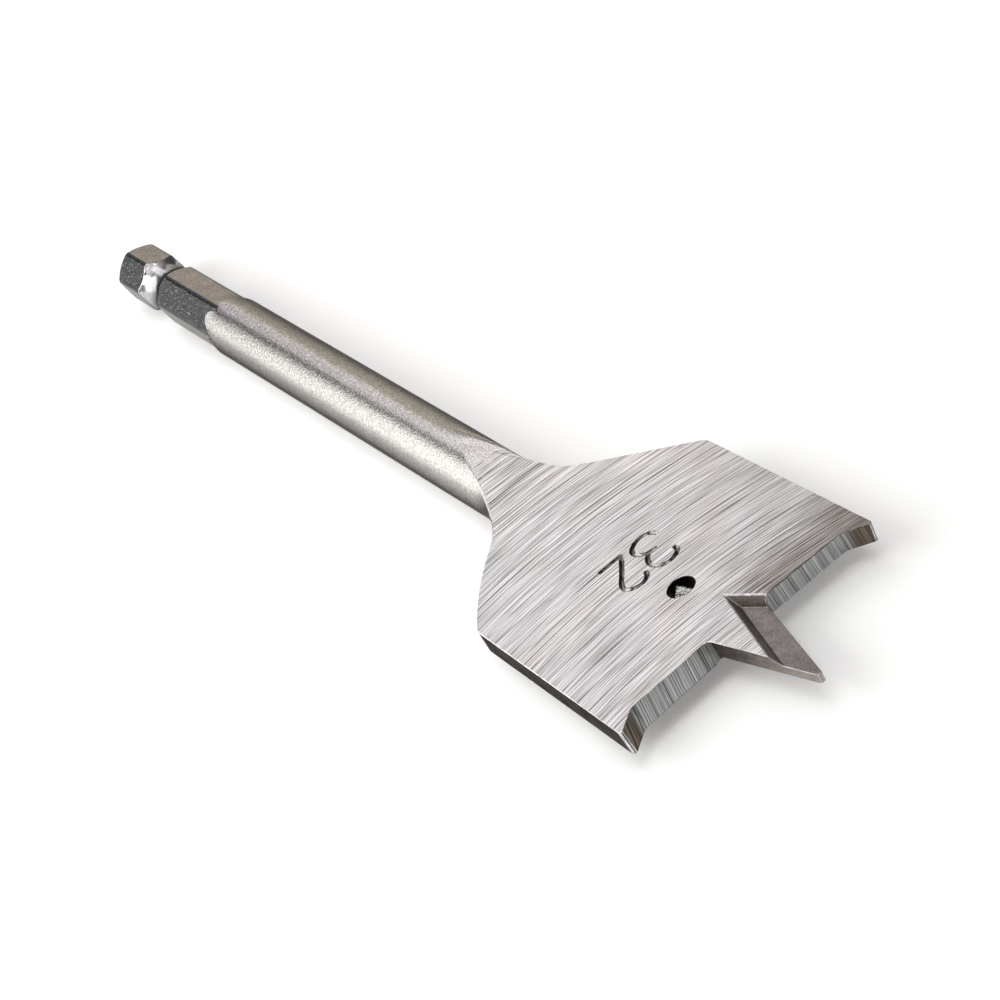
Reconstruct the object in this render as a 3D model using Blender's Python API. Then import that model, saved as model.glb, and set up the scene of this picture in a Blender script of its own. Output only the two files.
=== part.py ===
"""A spade (flat) wood bit, 32 mm across, forged and ground from one piece of steel.

The bit is drawn in its own frame: X runs along the turning axis from the rear end of the hexagon
to the tip of the centre point, Y across the blade, and Z out of its upper face. Half a turn about X
maps the bit onto itself, so each cutting wing is drawn once, and the bit's weight is on the axis. The
empty rest_pose lays it down as it comes to rest: on its round shaft, with the blade level, and with
the origin on the ground below the middle of its length. Lengths are in metres.
"""

import math

import bmesh
import bpy
import numpy as np

MM = 0.001

OVERALL_LENGTH = 152.4 * MM

# Hexagon shank
HEX_ACROSS_FLATS = 6.35 * MM
HEX_ACROSS_CORNERS = 7.10 * MM
HEX_LENGTH = 26.0 * MM
HEX_TURN = math.radians(41.4)
REAR_CHAMFER = 1.5 * MM
GROOVE_CENTRE = 10.25 * MM
GROOVE_WIDTH = 5.8 * MM
GROOVE_DIAMETER = 5.0 * MM

# Round shaft, and the ramps that flatten it into the blade
SHAFT_DIAMETER = 7.40 * MM
SHAFT_LEAD_ANGLE = math.radians(10)
RAMP_LENGTH = 12.4 * MM
RAMP_FOOT = 1.2 * MM
RAMP_FOOT_RADIUS = 4.0 * MM
RAMP_EDGE_ROUND_START = 1.4 * MM
RAMP_EDGE_ROUND_END = 0.12 * MM

# Blade
BLADE_WIDTH = 32.0 * MM
SHOULDER_WIDTH = 31.0 * MM
BLADE_THICKNESS = 2.6 * MM
BLADE_SIDE = 26.35 * MM
NECK_ANGLE = math.radians(39.8)
NECK_FILLET = 13.0 * MM
NECK_SWELL = 0.55 * MM
SHOULDER_ROUND = 2.0 * MM

# Cutting lips and spurs
LIP_RELIEF = math.radians(10)
LIP_RISE = 0.36 * MM
LIP_POINT_FILLET = 0.8 * MM
SPUR_RELIEF = math.radians(14)
SPUR_HEIGHT = 1.97 * MM
SPUR_WIDTH = 2.85 * MM
SPUR_FOOT_FILLET = 1.4 * MM
SPUR_TIP_FLAT = 0.38 * MM
SPUR_TIP_DROP = 0.18 * MM

# Centre point
POINT_LENGTH = 13.5 * MM
POINT_BASE_WIDTH = 6.84 * MM
POINT_TIP_WIDTH = 0.60 * MM
POINT_RELIEF = math.radians(2.5)
POINT_WEB = 1.1 * MM

# Recess ground into one side of each face, from the point back into the blade
RECESS_SETBACK = 1.92 * MM
RECESS_OFFSET = 1.68 * MM
RECESS_BACK_ANGLE = math.radians(28)
RECESS_SIDE_ANGLE = math.radians(14.5)
RECESS_BACK_DRAFT = math.radians(54)
RECESS_SIDE_DRAFT = math.radians(43.5)

# Drilled hole
HOLE_DIAMETER = 3.0 * MM
HOLE_SETBACK = 9.7 * MM

# Fineness of the facets
SHAFT_SIDES = 32
SIDE_STEPS = SHAFT_SIDES // 4
TURNED_SIDES = 64
HOLE_SIDES = 32
EDGE_STEPS = 4
RAMP_STEPS = 24
PLAN_STEPS = 8
GROOVE_STEPS = 12

OVERLAP = 2.0 * MM
WELD = 1e-4 * MM
SHARP_ANGLE = math.radians(28)

# Places along the axis, worked out from the sizes above
HALF_THICKNESS = BLADE_THICKNESS / 2
SHAFT_RADIUS = SHAFT_DIAMETER / 2
TIP = OVERALL_LENGTH
LIP = TIP - POINT_LENGTH
HOLE = LIP - HOLE_SETBACK
SHOULDER = LIP - BLADE_SIDE
NECK = SHOULDER - (SHOULDER_WIDTH / 2 - SHAFT_RADIUS) / math.tan(NECK_ANGLE)
FILLET_REACH = NECK_FILLET * math.tan(NECK_ANGLE / 2)
FILLET_START = NECK - FILLET_REACH
FILLET_END = NECK + FILLET_REACH * math.cos(NECK_ANGLE)
RAMP_END = NECK + RAMP_FOOT
RAMP_START = RAMP_END - RAMP_LENGTH
LEAD_END = HEX_LENGTH + (SHAFT_RADIUS - HEX_ACROSS_FLATS / 2) / math.tan(SHAFT_LEAD_ANGLE)


def clear_scene():
    for old in list(bpy.data.objects):
        bpy.data.objects.remove(old, do_unlink=True)


def steel():
    """Bright ground steel, a little warm."""
    material = bpy.data.materials.new("ground_steel")
    material.use_nodes = True
    shader = material.node_tree.nodes["Principled BSDF"]
    shader.inputs["Base Color"].default_value = (0.60, 0.585, 0.57, 1.0)
    shader.inputs["Metallic"].default_value = 1.0
    shader.inputs["Roughness"].default_value = 0.34
    return material


def rest_frame():
    """The empty that lays the bit down on its shaft, half way along above the origin."""
    frame = bpy.data.objects.new("rest_pose", None)
    bpy.context.collection.objects.link(frame)
    frame.location = (-OVERALL_LENGTH / 2, 0, SHAFT_RADIUS)
    return frame


def object_from(name, bm, frame):
    """The closed bmesh as an object in the rest frame, with its faces turned outwards."""
    bmesh.ops.remove_doubles(bm, verts=bm.verts, dist=WELD)
    bmesh.ops.recalc_face_normals(bm, faces=bm.faces)
    mesh = bpy.data.meshes.new(name)
    bm.to_mesh(mesh)
    bm.free()
    made = bpy.data.objects.new(name, mesh)
    bpy.context.collection.objects.link(made)
    made.parent = frame
    return made


def as_tool(made):
    made.hide_render = True
    made.display_type = "WIRE"
    return made


def boolean(target, operation, tool):
    step = target.modifiers.new(f"{operation.lower()}_{tool.name}", "BOOLEAN")
    step.operation = operation
    step.solver = "EXACT"
    step.object = tool


def extruded(name, base, along, frame):
    """The polygon through the base points, swept along a vector."""
    bm = bmesh.new()
    face = bm.faces.new([bm.verts.new(point) for point in base])
    swept = bmesh.ops.extrude_face_region(bm, geom=[face])["geom"]
    moved = [item for item in swept if isinstance(item, bmesh.types.BMVert)]
    bmesh.ops.translate(bm, verts=moved, vec=along)
    return object_from(name, bm, frame)


def turned(name, profile, frame):
    """A solid turned about X from points (x, radius), the first and last of them on the axis."""
    bm = bmesh.new()
    rim = [bm.verts.new((x, radius, 0)) for x, radius in profile]
    edges = [bm.edges.new(pair) for pair in zip(rim, rim[1:])]
    centre, axis = (0, 0, 0), (1, 0, 0)
    bmesh.ops.spin(bm, geom=rim + edges, cent=centre, axis=axis, angle=math.tau, steps=TURNED_SIDES)
    return object_from(name, bm, frame)


def arc(centre, radius, start, end, steps):
    """Points on an arc in a plane, from the start angle to the end angle."""
    angles = [start + (end - start) * k / steps for k in range(steps + 1)]
    return [(centre[0] + radius * math.cos(a), centre[1] + radius * math.sin(a)) for a in angles]


def fillet(before, corner, after, radius, steps):
    """The arc that rounds a corner between two straight runs, tangent to both."""
    corner = np.array(corner)
    back = np.array(before) - corner
    ahead = np.array(after) - corner
    back /= np.linalg.norm(back)
    ahead /= np.linalg.norm(ahead)
    half = math.acos(back @ ahead) / 2
    centre = corner + (back + ahead) / np.linalg.norm(back + ahead) * radius / math.sin(half)
    first = corner + back * radius / math.tan(half) - centre
    last = corner + ahead * radius / math.tan(half) - centre
    start = math.atan2(first[1], first[0])
    turn = (math.atan2(last[1], last[0]) - start + math.pi) % math.tau - math.pi
    return arc(centre, radius, start, start + turn, steps)


def hex_shank(frame):
    """Hexagon bar turned to a chamfered rear end, trimmed corners and the groove that a chuck holds."""
    corner = HEX_ACROSS_CORNERS / 2
    depth = corner - GROOVE_DIAMETER / 2
    radius = ((GROOVE_WIDTH / 2) ** 2 + depth**2) / (2 * depth)
    half = math.asin(GROOVE_WIDTH / 2 / radius)
    end = LEAD_END
    rear = [(0, corner - REAR_CHAMFER), (REAR_CHAMFER, corner)]
    groove_centre = (GROOVE_CENTRE, GROOVE_DIAMETER / 2 + radius)
    groove = arc(groove_centre, radius, -math.pi / 2 - half, -math.pi / 2 + half, GROOVE_STEPS)
    blank = as_tool(turned("turned_blank", [(0, 0), *rear, *groove, (end, corner), (end, 0)], frame))
    circle = arc((0, 0), HEX_ACROSS_FLATS / math.sqrt(3), HEX_TURN, HEX_TURN + math.tau, 6)
    base = [(-OVERLAP, y, z) for y, z in circle[:-1]]
    bar = as_tool(extruded("hexagon_bar", base, (end + 2 * OVERLAP, 0, 0), frame))
    boolean(blank, "INTERSECT", bar)
    return blank


def plan_half_width(x):
    """Half the width from above: the shaft, then the fillet that leads into the neck's slope."""
    if x <= FILLET_START:
        return SHAFT_RADIUS
    return SHAFT_RADIUS + NECK_FILLET - math.sqrt(NECK_FILLET**2 - (x - FILLET_START) ** 2)


def ramp_height(x):
    """Half the height from the side: a wide arc off the top of the shaft, then a hollow onto the flat."""
    drop = SHAFT_RADIUS - HALF_THICKNESS
    rise = RAMP_FOOT_RADIUS - drop
    crown = (RAMP_LENGTH**2 + rise**2 - RAMP_FOOT_RADIUS**2) / (2 * drop)
    change = RAMP_START + RAMP_LENGTH * crown / (crown + RAMP_FOOT_RADIUS)
    if x <= change:
        return SHAFT_RADIUS - crown + math.sqrt(crown**2 - (x - RAMP_START) ** 2)
    if x <= RAMP_END:
        return HALF_THICKNESS + RAMP_FOOT_RADIUS - math.sqrt(RAMP_FOOT_RADIUS**2 - (RAMP_END - x) ** 2)
    return HALF_THICKNESS


def round_quarter(radius):
    """A quarter of the shaft as flats that touch its circle, level on top, and with as many points as a
    quarter of the ramp."""
    half_flat = math.pi / SHAFT_SIDES
    top = (radius * math.tan(half_flat), radius)
    corner_radius = radius / math.cos(half_flat)
    corners = arc((0, 0), corner_radius, math.pi / 2 - half_flat, half_flat, SIDE_STEPS - 1)
    return [(0, radius)] + [top] * EDGE_STEPS + corners + [(radius, 0)]


def flat_quarter(half_width, height):
    """A quarter of the blade's own section, with as many points as a quarter of the ramp."""
    wall = [(half_width, height * (1 - k / SIDE_STEPS)) for k in range(SIDE_STEPS + 1)]
    return [(0, height)] + [(half_width, height)] * EDGE_STEPS + wall


def ramp_quarter(x):
    """A quarter of the section at x: a flat, a rounded edge, then a side that is the shaft's own circle
    at first and straightens into the blade's side."""
    height = ramp_height(x)
    half_width = plan_half_width(x)
    along = (x - RAMP_START) / (RAMP_END - RAMP_START)
    edge = RAMP_EDGE_ROUND_START + (RAMP_EDGE_ROUND_END - RAMP_EDGE_ROUND_START) * min(1, along)
    middle = (RAMP_START + RAMP_END) / 2
    straighter = max(0, x - middle) / (FILLET_END - middle)
    bend = SHAFT_RADIUS / (1 - straighter**2)
    centre = half_width - bend
    edge_y = centre + math.sqrt((bend - edge) ** 2 - (height - edge) ** 2)
    meet = math.atan2(height - edge, edge_y - centre)
    rounded = arc((edge_y, height - edge), edge, math.pi / 2, meet, EDGE_STEPS)
    return [(0, height)] + rounded[:-1] + arc((centre, 0), bend, meet, 0, SIDE_STEPS)


def whole_section(x, quarter):
    """The quarter mirrored all round, as a ring of points at x that starts at the middle of the top."""
    right = quarter + [(y, -z) for y, z in reversed(quarter[:-1])]
    left = [(-y, z) for y, z in reversed(right[1:-1])]
    return [(x, y, z) for y, z in right + left]


def wing_outline(lip, spur, base_half, tip_half, swell):
    """One wing from above: the neck's flank, the side, the spur, the lip and half of the centre point."""
    shoulder = (SHOULDER, SHOULDER_WIDTH / 2)
    spur_foot = (spur, BLADE_WIDTH / 2 - SPUR_WIDTH)
    spur_tip = (spur + SPUR_HEIGHT, BLADE_WIDTH / 2 - SPUR_TIP_FLAT)
    corner = (spur_tip[0] - SPUR_TIP_DROP, BLADE_WIDTH / 2)
    point_foot = (lip, base_half)
    tip = (TIP, tip_half)
    outline = []
    for t in [k / PLAN_STEPS for k in range(PLAN_STEPS)]:
        out = 4 * swell * t * (1 - t)
        x = FILLET_END + (SHOULDER - FILLET_END) * t - out * math.sin(NECK_ANGLE)
        half_width = plan_half_width(FILLET_END) + (x - FILLET_END) * math.tan(NECK_ANGLE)
        outline.append((x, half_width + out / math.cos(NECK_ANGLE)))
    outline += fillet(outline[-1], shoulder, corner, SHOULDER_ROUND, PLAN_STEPS)
    outline += [corner, spur_tip]
    outline += fillet(spur_tip, spur_foot, point_foot, SPUR_FOOT_FILLET, PLAN_STEPS)
    outline += fillet(spur_foot, point_foot, tip, LIP_POINT_FILLET, PLAN_STEPS)
    return [*outline, tip]


def blade_outlines():
    """The outline of a wing on the face that cuts, and on the other face, where relief sets its edges
    back and the neck's flank is swollen. The point's widths are those at its web."""
    lip_setback = BLADE_THICKNESS * math.tan(LIP_RELIEF)
    spur = LIP + LIP_RISE
    spur_setback = BLADE_THICKNESS * math.tan(SPUR_RELIEF)
    above = (HALF_THICKNESS - POINT_WEB / 2) * math.tan(POINT_RELIEF)
    below = (HALF_THICKNESS + POINT_WEB / 2) * math.tan(POINT_RELIEF)
    base, tip = POINT_BASE_WIDTH / 2, POINT_TIP_WIDTH / 2
    cutting = wing_outline(LIP, spur, base + above, tip + above, 0)
    return cutting, wing_outline(LIP - lip_setback, spur - spur_setback, base - below, tip - below, NECK_SWELL)


def bit_blank(frame):
    """The shaft lofted down its ramps into the blade, whose lips and point have relief, as one skin."""
    bm = bmesh.new()
    lead_start = LEAD_END - (SHAFT_RADIUS - GROOVE_DIAMETER / 2) / math.tan(SHAFT_LEAD_ANGLE)
    rings = [whole_section(lead_start, round_quarter(GROOVE_DIAMETER / 2))]
    rings += [whole_section(x, round_quarter(SHAFT_RADIUS)) for x in (LEAD_END, RAMP_START)]
    for k in range(1, RAMP_STEPS):
        x = RAMP_START + (FILLET_END - RAMP_START) * k / RAMP_STEPS
        rings.append(whole_section(x, ramp_quarter(x)))
    rings.append(whole_section(FILLET_END, flat_quarter(plan_half_width(FILLET_END), HALF_THICKNESS)))
    loops = [[bm.verts.new(point) for point in ring] for ring in rings]
    for near, far in zip(loops, loops[1:]):
        for k in range(len(near)):
            bm.faces.new((near[k - 1], near[k], far[k], far[k - 1]))
    bm.faces.new(loops[0])

    cutting, relieved = blade_outlines()
    top = cutting + [(x, -y) for x, y in reversed(relieved)]
    bottom = relieved + [(x, -y) for x, y in reversed(cutting)]
    upper = [bm.verts.new((x, y, HALF_THICKNESS)) for x, y in top]
    lower = [bm.verts.new((x, y, -HALF_THICKNESS)) for x, y in bottom]
    last = loops[-1]
    quarter = EDGE_STEPS + SIDE_STEPS + 1
    right = last[EDGE_STEPS + 2 : 2 * quarter - EDGE_STEPS - 1]
    left = last[2 * quarter + EDGE_STEPS + 2 : 4 * quarter - EDGE_STEPS - 1]
    bm.faces.new([last[0], *upper])
    bm.faces.new([last[2 * quarter], *reversed(lower)])
    bm.faces.new([upper[0], *right, lower[0], lower[1], upper[1]])
    bm.faces.new([lower[-1], *left, upper[-1], upper[-2], lower[-2]])
    for k in range(1, len(upper) - 2):
        bm.faces.new((upper[k], upper[k + 1], lower[k + 1], lower[k]))
    return object_from("spade_bit", bm, frame)


def recess_tool(name, turned_over, frame):
    """A wedge with sloping walls, open towards the tip, whose flat underside leaves the web."""
    floor, top = POINT_WEB / 2, HALF_THICKNESS + OVERLAP
    back = np.array((math.cos(RECESS_BACK_ANGLE), math.sin(RECESS_BACK_ANGLE)))
    side = np.array((math.cos(RECESS_SIDE_ANGLE), -math.sin(RECESS_SIDE_ANGLE)))
    corner = np.array((LIP - RECESS_SETBACK, RECESS_OFFSET))
    rise = (top - floor) / math.sin(RECESS_BACK_ANGLE + RECESS_SIDE_ANGLE)
    outer = corner - back * rise * math.tan(RECESS_SIDE_DRAFT) - side * rise * math.tan(RECESS_BACK_DRAFT)
    reach = 2 * POINT_LENGTH
    bm = bmesh.new()
    loops = []
    for z, start in ((floor, corner), (top, outer)):
        loops.append([bm.verts.new((*point, z)) for point in (start, start + side * reach, start + back * reach)])
        bm.faces.new(loops[-1])
    for k in range(3):
        bm.faces.new((loops[0][k - 1], loops[0][k], loops[1][k], loops[1][k - 1]))
    if turned_over:
        for vert in bm.verts:
            vert.co.y, vert.co.z = -vert.co.y, -vert.co.z
    return as_tool(object_from(name, bm, frame))


def build():
    clear_scene()
    frame = rest_frame()
    bit = bit_blank(frame)
    circle = arc((HOLE, 0), HOLE_DIAMETER / 2, 0, math.tau, HOLE_SIDES)[:-1]
    base = [(x, y, -HALF_THICKNESS - OVERLAP) for x, y in circle]
    drill = as_tool(extruded("hole_drill", base, (0, 0, BLADE_THICKNESS + 2 * OVERLAP), frame))
    boolean(bit, "UNION", hex_shank(frame))
    boolean(bit, "DIFFERENCE", recess_tool("upper_recess", False, frame))
    boolean(bit, "DIFFERENCE", recess_tool("lower_recess", True, frame))
    boolean(bit, "DIFFERENCE", drill)
    bit.data.materials.append(steel())
    bit.data.shade_smooth()
    bit.data.set_sharp_from_angle(angle=SHARP_ANGLE)


build()
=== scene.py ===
"""A 32 mm spade bit, forged and ground from one piece of steel, lying on a pale studio floor.

Lengths are in millimetres in the functions and in metres in the meshes. X runs along the turning axis
from the middle of the bit towards the centre point, Y across the blade and Z up from the floor. Half
a turn about the axis maps the bit onto itself, apart from the number stamped into its upper face.
"""

import math

import bmesh
import bpy
import numpy as np
from mathutils import Matrix


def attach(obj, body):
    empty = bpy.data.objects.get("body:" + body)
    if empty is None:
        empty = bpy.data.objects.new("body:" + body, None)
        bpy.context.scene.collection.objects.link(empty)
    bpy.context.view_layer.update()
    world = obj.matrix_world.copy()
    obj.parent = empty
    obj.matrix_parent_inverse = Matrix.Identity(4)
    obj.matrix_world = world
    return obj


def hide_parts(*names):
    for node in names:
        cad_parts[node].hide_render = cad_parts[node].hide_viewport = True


MM = 0.001

AXIS_HEIGHT = 3.7
HALF_THICKNESS = 1.3
FACE_HEIGHT = AXIS_HEIGHT + HALF_THICKNESS
LIP = 62.7
BLADE_HALF_WIDTH = 16.0
HOLE = 53.0
HOLE_RADIUS = 1.5
POINT_HALF_WIDTH = 4.0
RAMP_START, RAMP_END = 10.3, 22.7
HEX_END, LEAD_END = -50.2, -46.7
HEX_CORNER = 3.4
# The way the hexagon's flats with painted shade face, in degrees round the axis.
PAINTED_SHADE_FLAT_WAY = 131.4

EDGE_BREAK = 0.07
CORNER_BREAK = 0.22
RECESS_BREAK = 0.12
CREASE_BREAK = 0.13
BREAK_ANGLE = math.radians(27)
SMOOTH_ANGLE = math.radians(35)

STAMP_DEPTH = 0.30
STAMP_WIDTH = 0.60
STAMP_FOOT = 0.07
STAMP_RISE = 0.22
STAMP_END_SHARE = 0.35
NUMBER_PLACE = 45.35
NUMBER_HALF_HEIGHT, NUMBER_HALF_LENGTH = 4.0, 4.3


# ---------------------------------------------------------------- steel, as it came from the forge

def packed_surface(node):
    """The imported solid's surface as one mesh: its triangles joined, and flat areas made whole again."""
    bm = bmesh.new()
    bm.from_mesh(node.data)
    bmesh.ops.remove_doubles(bm, verts=bm.verts, dist=1e-4 * MM)
    bmesh.ops.dissolve_limit(bm, angle_limit=math.radians(0.4), verts=bm.verts, edges=bm.edges)
    mesh = bpy.data.meshes.new("spade_bit_steel")
    bm.to_mesh(mesh)
    bm.free()
    bit = bpy.data.objects.new("spade_bit_steel", mesh)
    bpy.context.collection.objects.link(bit)
    return bit


def settle(obj):
    """Makes the object's modifiers part of its mesh."""
    graph = bpy.context.evaluated_depsgraph_get()
    mesh = bpy.data.meshes.new_from_object(obj.evaluated_get(graph))
    obj.modifiers.clear()
    obj.data = mesh


def beside_ramp(place):
    """True on the two creases of a ramp. The place is given in metres."""
    x, y, z = place / MM
    above_blade = abs(z - AXIS_HEIGHT) > HALF_THICKNESS - 0.1
    return RAMP_START - 1 < x < RAMP_END + 0.6 and above_blade and abs(y) > 0.15


def soft_crease(place):
    """True on the side of each ramp where the shaft runs into it softly."""
    return beside_ramp(place) and (place[1] > 0) == (place[2] > AXIS_HEIGHT * MM)


def edge_break(place, upright):
    """How widely an edge at a place is broken, in millimetres: most at the spurs' outer corners, less at
    the ramps' creases and round the recess."""
    x, y, z = place / MM
    if beside_ramp(place):
        return 0.0 if soft_crease(place) else CREASE_BREAK
    if upright and abs(y) > BLADE_HALF_WIDTH - 0.3 and x > LIP:
        return CORNER_BREAK
    recess_side = (z - AXIS_HEIGHT) * (1 if y > 0 else -1) > HALF_THICKNESS - 0.05
    if LIP - 5 < x < LIP + 12 and abs(y) < POINT_HALF_WIDTH and recess_side:
        return RECESS_BREAK
    return EDGE_BREAK


def break_edges(bit):
    """A bevel on every sharp edge apart from the ramps' soft sides. Each edge's weight is its own width
    as a share of the widest one. Two empty slots let the bevel's faces carry material 1."""
    bm = bmesh.new()
    bm.from_mesh(bit.data)
    weight = bm.edges.layers.float.new("bevel_weight_edge")
    for edge in bm.edges:
        if edge.calc_face_angle(0.0) > BREAK_ANGLE:
            first, last = (vertex.co for vertex in edge.verts)
            upright = abs(first.z - last.z) > HALF_THICKNESS * MM
            edge[weight] = edge_break((first + last) / 2, upright) / CORNER_BREAK
    bm.to_mesh(bit.data)
    bm.free()
    bit.data.materials.append(None)
    bit.data.materials.append(None)
    bevel = bit.modifiers.new("broken_edges", "BEVEL")
    bevel.limit_method = "WEIGHT"
    bevel.width = CORNER_BREAK * MM
    bevel.segments = 1
    bevel.material = 1
    bevel.use_clamp_overlap = False
    settle(bit)


# ---------------------------------------------------------------- the stamped number

def smooth_path(points, count):
    """A curve through the points: each run between two points is a cubic whose slopes are half the step
    from the point before to the point after."""
    points = np.array(points, float)
    extended = np.vstack([2 * points[0] - points[1], points, 2 * points[-1] - points[-2]])
    t = np.linspace(0, len(points) - 1, count)
    k = np.minimum(t.astype(int), len(points) - 2)
    u = (t - k)[:, None]
    p0, p1, p2, p3 = (extended[k + j] for j in range(4))
    square = p0 - 2.5 * p1 + 2 * p2 - p3 / 2
    cube = 1.5 * (p1 - p2) + (p3 - p0) / 2
    return p1 + (p2 - p0) / 2 * u + square * u**2 + cube * u**3


def stamped_stroke(name, points, count=40):
    """A cutter for one stroke: a V with a narrow flat bottom carried along the stroke's curve, standing
    out above the face. A corner of the V lies at the curve's point plus its own distance across, along
    the curve's normal. Near either end the depth grows as the square root of the way from that end."""
    path = smooth_path(points, count)
    ahead = np.gradient(path, axis=0)
    ahead /= np.linalg.norm(ahead, axis=1)[:, None]
    side = np.column_stack([-ahead[:, 1], ahead[:, 0]])
    run = np.concatenate([[0], np.cumsum(np.linalg.norm(np.diff(path, axis=0), axis=1))])
    full = np.clip(np.minimum(run, run[-1] - run) / STAMP_RISE, 0, 1)
    sink = STAMP_END_SHARE + (1 - STAMP_END_SHARE) * np.sqrt(full)
    lift = 0.3
    top = STAMP_WIDTH / 2 + lift * (STAMP_WIDTH / 2 - STAMP_FOOT) / STAMP_DEPTH
    across = np.array([-top, -STAMP_FOOT, STAMP_FOOT, top])
    at_foot = np.abs(across) < top
    depth = np.where(at_foot, -STAMP_DEPTH * sink[:, None], lift)
    xy = path[:, None, :] + side[:, None, :] * across[None, :, None]
    corners = np.dstack([xy, FACE_HEIGHT + depth]).reshape(-1, 3) * MM
    ring = np.arange(count - 1)[:, None] * 4
    corner = np.arange(4)[None, :]
    after = (corner + 1) % 4
    quads = np.stack([ring + corner, ring + after, ring + 4 + after, ring + 4 + corner], axis=-1)
    last = 4 * count
    ends = np.array([[3, 2, 1, 0], [last - 4, last - 3, last - 2, last - 1]])
    mesh = bpy.data.meshes.new(name)
    mesh.from_pydata(corners, [], np.vstack([quads.reshape(-1, 4), ends]).tolist())
    cutter = bpy.data.objects.new(name, mesh)
    bpy.context.collection.objects.link(cutter)
    bm = bmesh.new()
    bm.from_mesh(mesh)
    bmesh.ops.recalc_face_normals(bm, faces=bm.faces)
    bm.to_mesh(mesh)
    bm.free()
    return cutter


def stamp(bit):
    """Presses the number 32 into the upper face, its top towards the point: each digit is two strokes,
    given by points of their curves."""
    strokes = {
        "three_upper": [
            (46.95, 3.45), (47.85, 3.22), (48.35, 2.45), (48.38, 1.55),
            (47.85, 0.75), (46.8, 0.42), (45.85, 0.7), (45.3, 1.25),
        ],
        "three_lower": [
            (45.28, 2.45), (44.98, 1.2), (44.1, 0.5), (43.1, 0.55),
            (42.4, 1.35), (42.2, 2.4), (42.6, 3.25), (43.5, 3.72),
        ],
        "two_hook": [
            (47.1, -0.42), (48.0, -0.9), (48.35, -1.75), (48.1, -2.65),
            (47.35, -3.28), (46.3, -3.05), (44.9, -2.05), (42.45, -0.38),
        ],
        "two_base": [(42.36, -0.3), (42.34, -1.8), (42.33, -3.35)],
    }
    cutters = [stamped_stroke(name, points) for name, points in strokes.items()]
    for cutter in cutters:
        cut = bit.modifiers.new(cutter.name, "BOOLEAN")
        cut.operation = "DIFFERENCE"
        cut.solver = "EXACT"
        cut.object = cutter
    settle(bit)
    for cutter in cutters:
        bpy.data.objects.remove(cutter, do_unlink=True)


# ---------------------------------------------------------------- finishes

GROUND_DARK = (0.16, 0.153, 0.142)
SATIN_DARK, SATIN_LIGHT = (0.34, 0.325, 0.31), (0.76, 0.735, 0.72)
ARC_OFFSET, ARC_RADIUS = 4.6, 68.0

# Rows of grinding lines: how many to a millimetre, half a line's width, and how strongly it shows
DARK_LINES = [(0.9, 0.075, 1.3), (1.7, 0.055, 0.9), (2.9, 0.040, 0.7)]
PALE_LINES = [(0.8, 0.070, 0.9), (1.9, 0.050, 0.7)]


class Wire:
    """A socket in a material's nodes that takes part in Python sums, each of which adds a Math node."""

    def __init__(self, tree, socket=None):
        self.tree = tree
        self.socket = socket

    def node(self, kind, settings=None, sockets=None, output=0):
        """Adds a node: its settings first, then its sockets' values or links. Gives one output's wire."""
        made = self.tree.nodes.new(kind)
        for name, value in (settings or {}).items():
            setattr(made, name, value)
        for name, value in (sockets or {}).items():
            if isinstance(value, Wire):
                self.tree.links.new(value.socket, made.inputs[name])
            else:
                made.inputs[name].default_value = value
        return Wire(self.tree, made.outputs[output])

    def maths(self, operation, *values, clamp=False):
        settings = {"operation": operation, "use_clamp": clamp}
        return self.node("ShaderNodeMath", settings, dict(enumerate(values)))

    def absolute(self):
        return self.maths("ABSOLUTE", self)

    def __add__(self, other):
        return self.maths("ADD", self, other)

    __radd__ = __add__

    def __sub__(self, other):
        return self.maths("SUBTRACT", self, other)

    def __rsub__(self, other):
        return self.maths("SUBTRACT", other, self)

    def __mul__(self, other):
        return self.maths("MULTIPLY", self, other)

    __rmul__ = __mul__

    def __truediv__(self, other):
        return self.maths("DIVIDE", self, other)

    def __gt__(self, other):
        return self.maths("GREATER_THAN", self, other)

    def __lt__(self, other):
        return self.maths("LESS_THAN", self, other)


def places(wire):
    """The surface's own place in millimetres, from the middle of the bit, with Z from the axis."""
    spot = wire.node("ShaderNodeTexCoord", output="Object")
    axis_place = (0, 0, AXIS_HEIGHT * MM)
    moved = wire.node("ShaderNodeVectorMath", {"operation": "SUBTRACT"}, {0: spot, 1: axis_place})
    scaled = wire.node("ShaderNodeVectorMath", {"operation": "SCALE"}, {0: moved, "Scale": 1 / MM})
    return split(wire, scaled)


def split(wire, vector):
    """A vector's three numbers."""
    return [wire.node("ShaderNodeSeparateXYZ", None, {"Vector": vector}, axis) for axis in range(3)]


def noise(wire, x, y, z, detail=2.0, rough=0.5):
    """Smooth noise from 0 to 1 about 0.5, over the given three measures."""
    spot = wire.node("ShaderNodeCombineXYZ", None, {0: x, 1: y, 2: z})
    sockets = {"Vector": spot, "Scale": 1.0, "Detail": detail, "Roughness": rough}
    return wire.node("ShaderNodeTexNoise", None, sockets)


def between(wire, value, low, high, to_low=0.0, to_high=1.0):
    """The value carried from one range to another, and held at its ends."""
    sockets = {"Value": value, "From Min": low, "From Max": high, "To Min": to_low, "To Max": to_high}
    return wire.node("ShaderNodeMapRange", {"clamp": True}, sockets)


def tinted(wire, share, low, high):
    """A colour between two, by a share from 0 to 1. Each colour is a wire or three numbers."""
    ends = [colour if isinstance(colour, Wire) else (*colour, 1) for colour in (low, high)]
    return wire.node("ShaderNodeMix", {"data_type": "RGBA"}, {0: share, 6: ends[0], 7: ends[1]}, 2)


def turned(wire, share, way):
    """The surface's normal, turned by a share from 0 to 1 towards a given way and made one long."""
    own = wire.node("ShaderNodeNewGeometry", output="Normal")
    mixed = wire.node("ShaderNodeMix", {"data_type": "VECTOR"}, {0: share, 4: own, 5: way}, 1)
    return wire.node("ShaderNodeVectorMath", {"operation": "NORMALIZE"}, {0: mixed})


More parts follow.
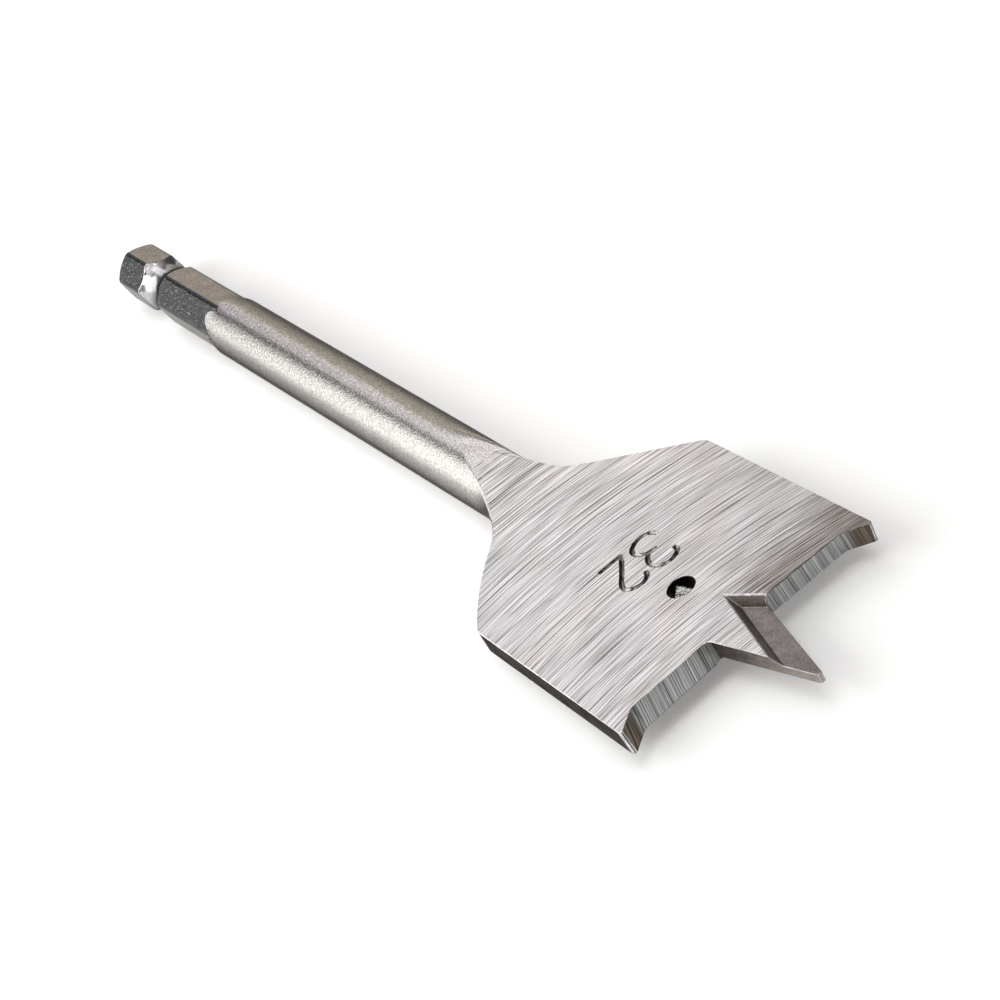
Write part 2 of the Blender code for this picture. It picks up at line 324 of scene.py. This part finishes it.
def thin_lines(wire, value, often, wide):
    """Thin lines wherever a measure crosses one of a row of uneven marks: how many marks there are to a
    millimetre, and half a line's width in millimetres. 1 in the middle of a line, 0 beside it."""
    cells = {"voronoi_dimensions": "1D", "feature": "DISTANCE_TO_EDGE"}
    sockets = {"W": value, "Scale": often, "Randomness": 1.0}
    near = wire.node("ShaderNodeTexVoronoi", cells, sockets, "Distance")
    return between(wire, near, wide * often, 0)


def steel(name, finish):
    """A steel material. finish(wire) gives its colour, its roughness, the height of its marks in
    millimetres, how much of its shine it keeps at a grazing angle and, at will, a normal of its own."""
    material = bpy.data.materials.new(name)
    material.use_nodes = True
    tree = material.node_tree
    wire = Wire(tree)
    shader = tree.nodes["Principled BSDF"]
    colour, roughness, height, rim, *normal = finish(wire)
    shader.inputs["Metallic"].default_value = 1.0
    shader.inputs["Specular Tint"].default_value = (rim, rim, rim, 1)
    tree.links.new(colour.socket, shader.inputs["Base Color"])
    tree.links.new(roughness.socket, shader.inputs["Roughness"])
    sockets = {"Strength": 1.0, "Distance": MM, "Height": height}
    if normal:
        sockets["Normal"] = normal[0]
    bump = wire.node("ShaderNodeBump", None, sockets)
    tree.links.new(bump.socket, shader.inputs["Normal"])
    return material


def fading_lines(wire, rows, value, u, y, seed):
    """The sum of rows of thin lines over one measure. Each row says how many lines there are to a
    millimetre, half a line's width and its weight, and its lines fade in and out along y."""
    total = None
    for number, (often, wide, weight) in enumerate(rows):
        cloud = noise(wire, u * often, y * 0.16, seed + number * 11, 1.0)
        row = thin_lines(wire, value, often, wide) * between(wire, cloud, 0.40, 0.62) * weight
        total = row if total is None else total + row
    return total


def ground(wire, x, y, z):
    """Grinding marks across the blade: noise and thin lines drawn out along arcs that open towards the
    point. A mark's place is x less the square of y over twice the arc's radius. The lower face is the
    upper one turned half round, and the marks are heavier near the shaft. Gives the shade, about 0 to
    1, and the height of the marks."""
    side = (z > 0) * 2 - 1
    y = y * side
    reach = y + ARC_OFFSET
    u = x - reach * reach / (2 * ARC_RADIUS)
    heavy = between(wire, x, 18, 36, 1.4, 1.0)
    hair = noise(wire, u * 6.5, y * 0.15, side, 1.0) - 0.5
    band = noise(wire, u * 0.45, y * 0.04 + 50, side * 9, 2.0) - 0.5
    dark = fading_lines(wire, DARK_LINES, u + side * 90, u, y, side * 3)
    pale = fading_lines(wire, PALE_LINES, u - side * 70 + 300, u, y, side * 3 + 40)
    shade = 0.69 + (hair * 1.7 + band * 0.2 - dark * 1.1 + pale * 1.2) * heavy
    return shade, hair * 0.003 - dark * 0.0015


def satin(wire, x, y, z):
    """Blasted steel: grain with faint rings round the axis. Gives the shade and the height, as the
    grinding does."""
    rings = noise(wire, x * 3.0, y * 0.4, z * 0.4, 3.0, 0.6)
    grain = noise(wire, x * 4.5, y * 4.5, z * 4.5, 2.0, 0.7)
    coarse = noise(wire, x * 2.2, y * 2.2, z * 2.2, 2.0)
    speck = between(wire, noise(wire, x * 7 + 70, y * 7, z * 7, 1.0), 0.60, 0.70)
    shade = 0.52 + (rings - 0.5) * 0.5 + (grain - 0.5) * 2.1 + speck * 0.5
    return shade, (grain - 0.5) * 0.034 + (coarse - 0.5) * 0.014 + (rings - 0.5) * 0.003


def ground_face(wire):
    """The blade's two faces: a little browner and darker towards the lip on one side of the point."""
    x, y, z = places(wire)
    shade, height = ground(wire, x, y, z)
    side = (z > 0) * 2 - 1
    ragged = x + (noise(wire, x * 0.5, y * 0.2, z, 3.0) - 0.5) * 8
    browner_near_lip = between(wire, ragged, 54.5, 61.5) * between(wire, y * side, 0.5, 4.5)
    cloud = between(wire, noise(wire, x * 0.12, y * 0.12, side * 2, 1.0), 0.4, 0.6)
    light = tinted(wire, cloud, (0.815, 0.790, 0.778), (0.790, 0.798, 0.790))
    plain = tinted(wire, between(wire, shade, 0, 1), GROUND_DARK, light)
    brown = tinted(wire, between(wire, shade, 0.2, 1.05), (0.02, 0.016, 0.014), (0.48, 0.43, 0.40))
    return tinted(wire, browner_near_lip * 0.9, plain, brown), between(wire, shade, 0, 1, 0.40, 0.27), height, 1.0


def shaft_steel(wire, flat):
    """The shaft's satin and its ramps, where the grinding begins raggedly some way down the ramp. Beside
    a ramp, on its soft side, the grinding and the ramp's own slope fade out below the ramp's plane."""
    x, y, z = places(wire)
    side = (z > 0) * 2 - 1
    slope = (AXIS_HEIGHT - HALF_THICKNESS) / (RAMP_END - RAMP_START)
    ragged = x + (noise(wire, x * 0.7, y, z, 3.0) - 0.5) * 6
    share = between(wire, ragged, 14.5, 17.5)
    lines, marks = ground(wire, x, y, z)
    grain, pits = satin(wire, x, y, z)
    rough = tinted(wire, between(wire, grain, 0, 1), SATIN_DARK, SATIN_LIGHT)
    fine = tinted(wire, between(wire, lines, 0, 1), (0.10, 0.092, 0.084), (0.80, 0.78, 0.75))
    normal = []
    if not flat:
        below = AXIS_HEIGHT - (x - RAMP_START) * slope - z * side
        near = between(wire, below, 1.0, 0.0) * between(wire, y * side, -0.6, 0.3)
        share = share * between(wire, below, 0.5, 0.0) * (y * side > 0)
        length = math.hypot(1, slope)
        square_to_ramp = {0: slope / length, 1: 0.0, 2: side * (1 / length)}
        normal = [turned(wire, near, wire.node("ShaderNodeCombineXYZ", None, square_to_ramp))]
    colour = tinted(wire, share, rough, fine)
    height = marks * share + pits * (1 - share)
    return colour, between(wire, share, 0, 1, 0.18, 0.33), height, 0.07, *normal


def ramp_face(wire):
    """The ramps' flats."""
    return shaft_steel(wire, True)


def satin_shaft(wire):
    """The round shaft and the round sides of its ramps."""
    return shaft_steel(wire, False)


def ground_lip(wire):
    """The lips: streaks straight through the blade's thickness, painted shade in one corner beside the
    point, and a brown tarnish on the spurs."""
    x, y, z = places(wire)
    along = x * 0.6 + y
    fine = noise(wire, along * 7.5, z * 0.02, 3, 1.0) - 0.5
    broad = noise(wire, along * 1.3, z * 0.02, 9, 2.0) - 0.5
    cloud = noise(wire, along, z * 0.3, 14, 1.0)
    glint = thin_lines(wire, along + 200, 0.9, 0.06) * between(wire, cloud, 0.4, 0.6)
    # Painted shade in the inner corner beside the point, on one lip only.
    corner = between(wire, y, -5.4, -3.8) * (y < 0)
    shade = 0.36 + fine * 1.7 + broad * 0.8 + glint * 0.6 - corner * 0.2
    tarnish = between(wire, y.absolute(), 13.2, 14.2)
    plain = tinted(wire, between(wire, shade, 0, 1), (0.05, 0.05, 0.048), (0.72, 0.74, 0.73))
    brown = tinted(wire, between(wire, shade, 0, 1), (0.015, 0.012, 0.009), (0.30, 0.25, 0.20))
    return tinted(wire, tarnish, plain, brown), between(wire, shade, 0, 1, 0.42, 0.28), fine * 0.010, 0.8


def point_side(wire):
    """The point's two flanks: brown grey, lighter towards the tip, with marks along their length."""
    x, y, z = places(wire)
    fine = noise(wire, x * 0.5, y * 1.5, z * 4.0, 3.0, 0.6) - 0.5
    cloud = noise(wire, x * 0.9, y, z, 2.0) - 0.5
    shade = between(wire, x, 66, 75, 0.26, 0.62) + fine * 0.5 + cloud * 0.4
    colour = tinted(wire, between(wire, shade, 0, 1), (0.055, 0.047, 0.042), (0.50, 0.43, 0.40))
    return colour, between(wire, shade, 0, 1, 0.42, 0.32), fine * 0.006, 0.8


def sheared_side(wire):
    """The blade's sides and the neck's: dark, with slanting marks left by the trimming."""
    x, y, z = places(wire)
    slant = x * 0.8 + z * 0.6
    fine = noise(wire, slant * 4.0, (z * 0.8 - x * 0.6) * 0.3, y * 0.3, 3.0, 0.6) - 0.5
    broad = noise(wire, x * 0.35, y * 0.2, z * 0.5, 2.0) - 0.5
    shade = 0.4 + fine * 1.8 + broad * 0.8
    colour = tinted(wire, between(wire, shade, 0, 1), (0.04, 0.034, 0.03), (0.26, 0.24, 0.225))
    return colour, between(wire, shade, 0, 1, 0.46, 0.36), fine * 0.010, 0.25


def ground_recess(wire):
    """The recess beside the point: brown grey, with marks along its length and small dark pits, and
    darker with painted shade down on its floor.
    """
    x, y, z = places(wire)
    fine = noise(wire, x * 5.0, y * 5.0, z * 3.0, 3.0, 0.6) - 0.5
    cloud = noise(wire, x * 0.7, y * 0.9, z, 3.0) - 0.5
    painted_shade_share = between(wire, z.absolute(), 0.80, 0.60)
    shade = 0.45 + fine * 1.3 + cloud * 0.6
    wall = tinted(wire, between(wire, shade, 0, 1), (0.15, 0.13, 0.115), (0.60, 0.53, 0.49))
    # Painted shade: a darker copy of the colour on the recess's floor.
    low = tinted(wire, between(wire, shade, 0, 1), (0.10, 0.088, 0.082), (0.38, 0.345, 0.335))
    colour = tinted(wire, painted_shade_share, wall, low)
    return colour, between(wire, shade, 0, 1, 0.44, 0.34), fine * 0.006, 1.0


def recess_end_painted_shade(wire):
    """The recess's slanting end wall, near black with painted shade: darkest at its foot, lighter towards
    the face.
    """
    x, y, z = places(wire)
    fine = noise(wire, x * 4.0, y * 4.0, z * 4.0, 3.0, 0.6) - 0.5
    shade = between(wire, z.absolute(), 0.55, 1.25, 0.1, 0.8) + fine * 0.8
    colour = tinted(wire, between(wire, shade, 0, 1), (0.014, 0.011, 0.009), (0.115, 0.098, 0.088))
    return colour, fine * 0.1 + 0.42, fine * 0.006, 1.0


def drawn(wire, dark, light, rim):
    """Drawn bar: a coarse grain over two given colours, and small bright specks."""
    x, y, z = places(wire)
    grain = noise(wire, x * 3.0, y * 5, z * 5, 3.0, 0.6) - 0.5
    cloud = noise(wire, x * 0.6, y * 0.6, z * 0.6, 2.0) - 0.5
    speck = between(wire, noise(wire, x * 4.5, y * 6, z * 6 + 40, 1.0), 0.64, 0.70)
    colour = tinted(wire, between(wire, 0.45 + grain * 1.5 + cloud * 0.8, 0, 1), dark, light)
    return tinted(wire, speck * 0.6, colour, (0.62, 0.61, 0.62)), grain * 0.2 + 0.3, grain * 0.008, rim


def drawn_hex(wire):
    """The hexagon's lighter flats."""
    return drawn(wire, (0.24, 0.22, 0.21), (0.56, 0.53, 0.515), 0.5)


def hex_painted_shade(wire):
    """The two opposite flats of the hexagon and its trimmed corners, near black with painted shade."""
    return drawn(wire, (0.022, 0.022, 0.024), (0.085, 0.085, 0.09), 0.8)


def turned_steel(wire):
    """Turned places: the groove and the rear chamfer, bright, with fine rings."""
    x, y, z = places(wire)
    rings = noise(wire, x * 12.0, y * 0.3, z * 0.3, 2.0) - 0.5
    colour = tinted(wire, between(wire, rings, -0.2, 0.2), (0.35, 0.345, 0.35), (0.72, 0.71, 0.73))
    return colour, rings * 0.2 + 0.20, rings * 0.004, 0.0


def drilled_hole(wire):
    """The hole's wall: near black with painted shade, and with a painted highlight low down on the
    shaft's side, where burrs left by the drill breaking out also turn the surface to look up."""
    x, y, z = places(wire)
    grain = noise(wire, x * 5, y * 5, z * 5, 2.0, 0.6) - 0.5
    reach = (y - 0.15).absolute()
    burrs_and_painted_highlight = between(wire, z + reach + grain * 1.6, 0.70, 0.50) * (x < HOLE)
    painted_highlight_colour = tinted(wire, between(wire, grain, -0.12, 0.0), (0.05, 0.045, 0.04), (1.0, 0.99, 0.97))
    # Painted shade makes the wall near black, and a painted highlight lights it low down.
    colour = tinted(wire, burrs_and_painted_highlight, (0.012, 0.010, 0.009), painted_highlight_colour)
    burr = turned(wire, burrs_and_painted_highlight, (0.60, -0.18, 0.78))
    return colour, grain * 0.2 + 0.4, burrs_and_painted_highlight * grain * 0.15, 1.0, burr


def stamped_wall(wire):
    """The stamped number's walls: smooth steel, darkened with painted shade where they look towards the
    point.
    """
    x, y, z = places(wire)
    grain = noise(wire, x * 2.5, y * 2.5, z * 2.5, 1.0) - 0.5
    plain_wall = tinted(wire, between(wire, grain, -0.2, 0.2), (0.15, 0.14, 0.135), (0.46, 0.44, 0.43))
    # Painted shade: the walls that face the point take a near-black colour.
    wall_painted_shade = tinted(wire, between(wire, grain, -0.12, 0.12), (0.030, 0.028, 0.026), (0.17, 0.16, 0.155))
    towards_point = split(wire, wire.node("ShaderNodeNewGeometry", output="Normal"))[0]
    colour = tinted(wire, between(wire, towards_point, 0.15, 0.45), plain_wall, wall_painted_shade)
    return colour, grain * 0.1 + 0.20, grain * 0.005, 1.0


def bright_edge(wire):
    """Broken edges: clean steel, with a painted highlight that makes them a little brighter than what
    lies round it.
    """
    x, y, z = places(wire)
    grain = noise(wire, x * 1.2, y * 1.2, z * 1.2, 2.0) - 0.5
    colour = tinted(wire, between(wire, grain, -0.2, 0.2), (0.42, 0.41, 0.40), (0.80, 0.79, 0.78))
    return colour, grain * 0.2 + 0.28, grain * 0.003, 1.0


FINISHES = [
    ground_face, bright_edge, ramp_face, satin_shaft, ground_lip, point_side, sheared_side,
    ground_recess, recess_end_painted_shade, drawn_hex, hex_painted_shade, turned_steel, drilled_hole, stamped_wall,
]


def give_finishes(bit):
    """Sorts the faces by where they are and which way they look, and gives each its finish. A later row
    goes over an earlier one."""
    mesh = bit.data
    count = len(mesh.polygons)
    centre, normal = np.empty(count * 3, np.float32), np.empty(count * 3, np.float32)
    given = np.empty(count, np.int32)
    mesh.polygons.foreach_get("center", centre)
    mesh.polygons.foreach_get("normal", normal)
    mesh.polygons.foreach_get("material_index", given)
    x, y, z = centre.reshape(-1, 3).T / MM
    z = z - AXIS_HEIGHT
    nx, ny, nz = normal.reshape(-1, 3).T
    wide = np.abs(y)
    inside = np.abs(z) < HALF_THICKNESS - 0.02
    upright = np.abs(nz) < 0.4
    beside_point = inside & (wide < POINT_HALF_WIDTH)
    recess = (x > LIP - 5) & beside_point & ~upright
    slanting = (np.abs(nz) < 0.95) & (y * z > 0) & (ny * z < 0)
    spur_end = (wide > BLADE_HALF_WIDTH - 0.55) & (x > LIP + 1.9) & (np.abs(np.abs(ny) - 0.5) < 0.2)
    from_hole = np.hypot(x - HOLE, y)
    number = (np.abs(x - NUMBER_PLACE) < NUMBER_HALF_HEIGHT) & (wide < NUMBER_HALF_LENGTH)
    ramp = (x < RAMP_END + 0.2) & (x > RAMP_START) & (np.abs(ny) < 0.12) & (np.abs(nz) > 0.7)
    shank = x < HEX_END + 4
    along = np.abs(nx) < 0.02
    facing = np.degrees(np.arctan2(nz, ny)) % 180
    # Painted shade: the flats facing that way and the trimmed corners get the near-black hexagon finish.
    dark = (np.abs(facing - PAINTED_SHADE_FLAT_WAY) < 8) | (np.hypot(y, z) > HEX_CORNER)
    lead = (x < LEAD_END) & (x > HEX_END - 1) & (np.abs(nx) > 0.1)
    broken = given == 1
    outer = (np.abs(z) > HALF_THICKNESS - 0.15) | (wide > BLADE_HALF_WIDTH - 0.5) | (x > LIP + 7.5)
    rim = from_hole < HOLE_RADIUS + 0.2
    creased = (x > RAMP_START) & (x < RAMP_END + 0.4) & (np.abs(z) > HALF_THICKNESS - 0.1) & (y * z < 0)
    lip_edge = (x > LIP - 1) & (wide > POINT_HALF_WIDTH - 0.1) & (wide < BLADE_HALF_WIDTH - 0.5)
    rows = [
        ((x > RAMP_START) & inside & (np.abs(nz) < 0.7), sheared_side),
        ((x > LIP - 1) & inside & upright, ground_lip),
        ((x > LIP) & beside_point & upright & (np.abs(ny) > 0.5), point_side),
        (recess, ground_recess),
        # Painted shade on the recess's slanting end wall.
        (recess & slanting, recess_end_painted_shade),
        (spur_end, sheared_side),
        ((from_hole < HOLE_RADIUS + 0.1) & inside, drilled_hole),
        (number & (z > 0.5) & (z < HALF_THICKNESS - 0.01), stamped_wall),
        ((x < RAMP_END) & (x > LEAD_END - 8), satin_shaft),
        (ramp, ramp_face),
        (shank & along, drawn_hex),
        (shank & along & dark, hex_painted_shade),
        (shank & ~along, turned_steel),
        (lead, satin_shaft),
        (x > LIP + 13.4, point_side),
        (broken & outer & (x > LEAD_END + 1) & ~rim, bright_edge),
        (broken & lip_edge & (y * z < 0), ground_face),
        # Painted shade: the broken edges along the ramps' hard creases, and the lip edges on one side,
        # take the dark side finish to draw a dark line.
        (broken & (creased | lip_edge & (y * z > 0)), sheared_side),
    ]
    kind = np.full(count, FINISHES.index(ground_face), np.int32)
    for mask, finish in rows:
        kind[mask] = FINISHES.index(finish)
    mesh.materials.clear()
    for finish in FINISHES:
        mesh.materials.append(steel(finish.__name__, finish))
    mesh.polygons.foreach_set("material_index", kind)
    mesh.polygons.foreach_set("use_smooth", np.ones(count, bool))
    part_edges(mesh, kind)
    even = bit.modifiers.new("even_shading", "WEIGHTED_NORMAL")
    even.keep_sharp = True


def part_edges(mesh, kind):
    """Says where the shading breaks: at steep edges and round the stamped number, and not on the soft
    side of a ramp."""
    mesh.set_sharp_from_angle(angle=SMOOTH_ANGLE)
    corners = np.array([vertex.co for vertex in mesh.vertices])
    for edge in mesh.edges:
        if soft_crease(corners[list(edge.vertices)].mean(axis=0)):
            edge.use_edge_sharp = False
    walls = set()
    for face in np.flatnonzero(kind == FINISHES.index(stamped_wall)):
        walls.update(mesh.polygons[face].edge_keys)
    for face in np.flatnonzero(kind == FINISHES.index(ground_face)):
        polygon = mesh.polygons[face]
        for key, loop in zip(polygon.edge_keys, polygon.loop_indices):
            if key in walls:
                mesh.edges[mesh.loops[loop].edge_index].use_edge_sharp = True
    mesh.update()


# ---------------------------------------------------------------- studio

FLOOR_REACH = 3.0


def floor():
    """A pale floor. Its own glow brings what the lamps leave it short of white up to white for the
    camera and in reflections, so that only the shadow shows."""
    mesh = bpy.data.meshes.new("studio_floor")
    corners = np.array([(-1, -1, 0), (1, -1, 0), (1, 1, 0), (-1, 1, 0)]) * FLOOR_REACH
    mesh.from_pydata(corners, [], [(0, 1, 2, 3)])
    made = bpy.data.objects.new("studio_floor", mesh)
    bpy.context.collection.objects.link(made)
    material = bpy.data.materials.new("studio_floor")
    material.use_nodes = True
    tree = material.node_tree
    tree.nodes.remove(tree.nodes["Principled BSDF"])
    wire = Wire(tree)
    paint = wire.node("ShaderNodeBsdfDiffuse", None, {"Color": (0.88, 0.88, 0.88, 1)})
    glow = wire.node("ShaderNodeEmission", None, {"Color": (1, 1, 1, 1), "Strength": 0.14})
    both = wire.node("ShaderNodeAddShader", None, {0: paint, 1: glow})
    kinds = ("Camera", "Glossy", "Transmission")
    by_camera, shiny, clear = (
        wire.node("ShaderNodeLightPath", None, None, f"Is {kind} Ray") for kind in kinds
    )
    seen = wire.maths("ADD", by_camera + shiny, clear, clamp=True)
    mixed = wire.node("ShaderNodeMixShader", None, {"Fac": seen, 1: paint, 2: both})
    tree.links.new(mixed.socket, tree.nodes["Material Output"].inputs["Surface"])
    mesh.materials.append(material)


def softbox(name, place, target, size, radiance, tint=(1, 1, 1)):
    """A rectangle of even light with the given radiance, facing the target."""
    lamp = bpy.data.lights.new(name, "AREA")
    lamp.shape = "RECTANGLE"
    lamp.size, lamp.size_y = size
    lamp.energy = radiance * math.pi * size[0] * size[1]
    lamp.color = tint
    made = bpy.data.objects.new(name, lamp)
    away = np.array(place, float) - np.array(target, float)
    away /= np.linalg.norm(away)
    right = np.cross((0, 0, 1), away)
    right /= np.linalg.norm(right)
    up = np.cross(away, right)
    made.matrix_world = turned_to(right, up, away, place)
    made.visible_camera = False
    bpy.context.collection.objects.link(made)


def turned_to(right, up, back, place):
    """The matrix of something at a place, from the way its right, its top and its back look."""
    columns = np.column_stack([right, up, back, place])
    return Matrix([*columns.tolist(), [0, 0, 0, 1]])


def studio():
    """A plain room, lighter in front of the bit's left side and overhead, and five soft boxes: their
    names, places, targets, sizes, radiances and tints."""
    world = bpy.data.worlds.new("studio")
    bpy.context.scene.world = world
    world.use_nodes = True
    tree = world.node_tree
    wire = Wire(tree)
    ahead, across, up = split(wire, wire.node("ShaderNodeTexCoord", output="Generated"))
    front = between(wire, ahead * 0.8 - across * 0.6, -0.3, 0.7, 0.09, 0.45)
    level = front + between(wire, up, 0.55, 0.95, 0.0, 0.6)
    room = wire.node("ShaderNodeBackground", None, {"Color": (1, 0.985, 0.965, 1), "Strength": level})
    tree.links.new(room.socket, tree.nodes["World Output"].inputs["Surface"])
    middle, near_middle = (0, 0, 0), (-0.01, 0, 0)
    softbox("high_box", (-0.440, 0.083, 0.536), middle, (0.285, 0.71), 1.08, (0.98, 0.95, 1.0))
    softbox("left_box", (-0.455, -0.445, 0.285), near_middle, (0.62, 0.62), 2.0, (0.985, 1, 0.965))
    softbox("right_box", (-0.60, 0.36, 0.13), near_middle, (0.42, 0.5), 0.85, (1, 0.93, 0.80))
    softbox("front_box", (0.28, -0.10, 0.86), middle, (0.5, 0.5), 2.2)
    softbox("side_box", (-0.07, -0.66, 0.59), middle, (0.8, 0.5), 1.9)


def camera():
    """The photograph's camera: its place, its direction and its lens, for a square picture."""
    lens = bpy.data.cameras.new("camera")
    lens.sensor_width = 36
    lens.lens = 129.37
    made = bpy.data.objects.new("camera", lens)
    right = np.array((0.4921327, 0.74993195, -0.44204917))
    up = -np.array((0.29887596, -0.62249061, -0.72331086))
    back = np.array((0.81760538, -0.22384706, 0.53048462))
    made.matrix_world = turned_to(right, up, back, (0.32587335, -0.08564078, 0.20309225))
    bpy.context.collection.objects.link(made)
    bpy.context.scene.camera = made


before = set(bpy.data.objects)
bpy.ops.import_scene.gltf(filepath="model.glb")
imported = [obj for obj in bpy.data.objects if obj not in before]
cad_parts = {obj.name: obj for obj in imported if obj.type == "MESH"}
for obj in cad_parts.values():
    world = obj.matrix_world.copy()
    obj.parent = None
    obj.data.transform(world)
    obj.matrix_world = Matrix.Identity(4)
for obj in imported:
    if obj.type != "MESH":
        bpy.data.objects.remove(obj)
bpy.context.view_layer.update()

bit = packed_surface(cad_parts["spade_bit"])
break_edges(bit)
stamp(bit)
give_finishes(bit)
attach(bit, "root")
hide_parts("spade_bit")

floor()
studio()
camera()
bpy.context.scene.view_settings.view_transform = "Standard"
